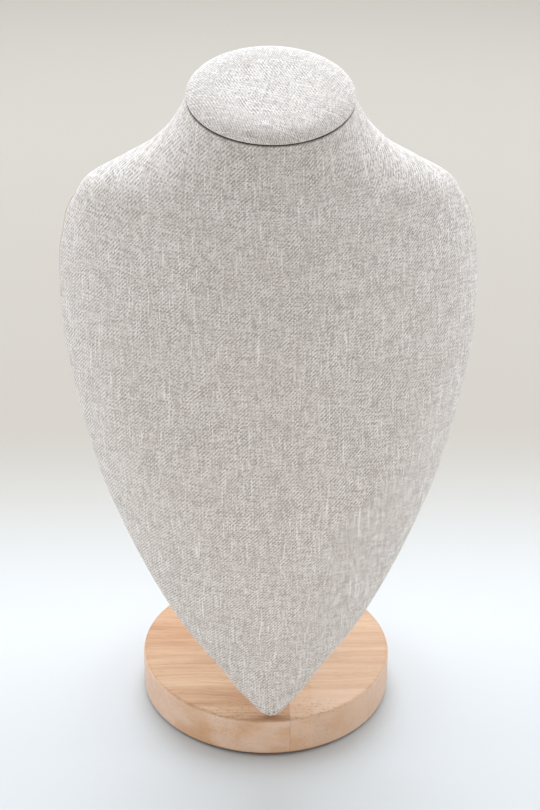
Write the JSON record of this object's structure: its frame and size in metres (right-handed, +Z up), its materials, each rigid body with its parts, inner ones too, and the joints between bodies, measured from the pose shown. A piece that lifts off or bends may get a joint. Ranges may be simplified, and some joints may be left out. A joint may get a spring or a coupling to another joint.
{
  "type": "necklace display bust",
  "caption": "Linen-covered chest and neck display form with a leaning flat back, carried on a steel post by a clamped wooden socket over a round wooden base.",
  "frame": {"origin": "centre of the base's underside, on the table, directly under the post", "axes": "+Z up along the post, the chest faces -Y, +X is to the right of someone facing the chest"},
  "size_m": [0.186, 0.1213, 0.3076],
  "materials": {
    "base_wood": "matt clear oil on light rubberwood",
    "socket_wood": "sanded beech",
    "felt": "pressed wool felt",
    "linen": "oatmeal linen, fine twill",
    "foam": "soft open-cell foam",
    "cream_sheet": "matt coated card",
    "moulded_form": "raw moulding",
    "fibreboard": "raw fibreboard",
    "brushed_post": "brushed",
    "zinc_steel": "zinc plated",
    "black_steel": "black oxide",
    "brass": "turned",
    "black_plastic": "moulded, satin",
    "white_nylon": "moulded"
  },
  "bodies": {
    "stand": {"wood_base": "base_wood", "base_felt": "felt", "base_washer": "zinc_steel", "post_washer": "white_nylon"},
    "post": {"support_post": "brushed_post", "post_plug": "zinc_steel", "base_screw": "black_steel", "post_cap": "black_plastic", "stop_collar": "brushed_post", "collar_screw": "black_steel"},
    "bust": {"form_shell": "moulded_form", "foam_skin": "foam", "linen_cover": "linen", "back_board": "fibreboard", "back_cover": "cream_sheet", "cover_staples": "zinc_steel", "neck_plug": "fibreboard", "cap_dowels": "socket_wood", "cap_board": "fibreboard", "cap_pad": "foam", "cap_cover": "linen", "socket_block": "socket_wood", "socket_sleeve": "brushed_post", "clamp_insert": "brass", "block_screws": "zinc_steel"},
    "clamp": {"clamp_screw": "zinc_steel", "clamp_knob": "black_plastic"}
  },
  "joints": [
    {"name": "post_swivel", "type": "hinge", "parent": "stand", "child": "post", "pos_m": [0, 0, 0.02], "axis": [0, 0, 1], "continuous": true},
    {"name": "bust_lift", "type": "slide", "parent": "post", "child": "bust", "axis": [0, 0, 1], "range_m": [0, 0.075]},
    {"name": "clamp_turn", "type": "hinge", "parent": "bust", "child": "clamp", "pos_m": [0, 0.02, 0.124], "axis": [0, 1, 0], "range_deg": [-540, 0]}
  ]
}
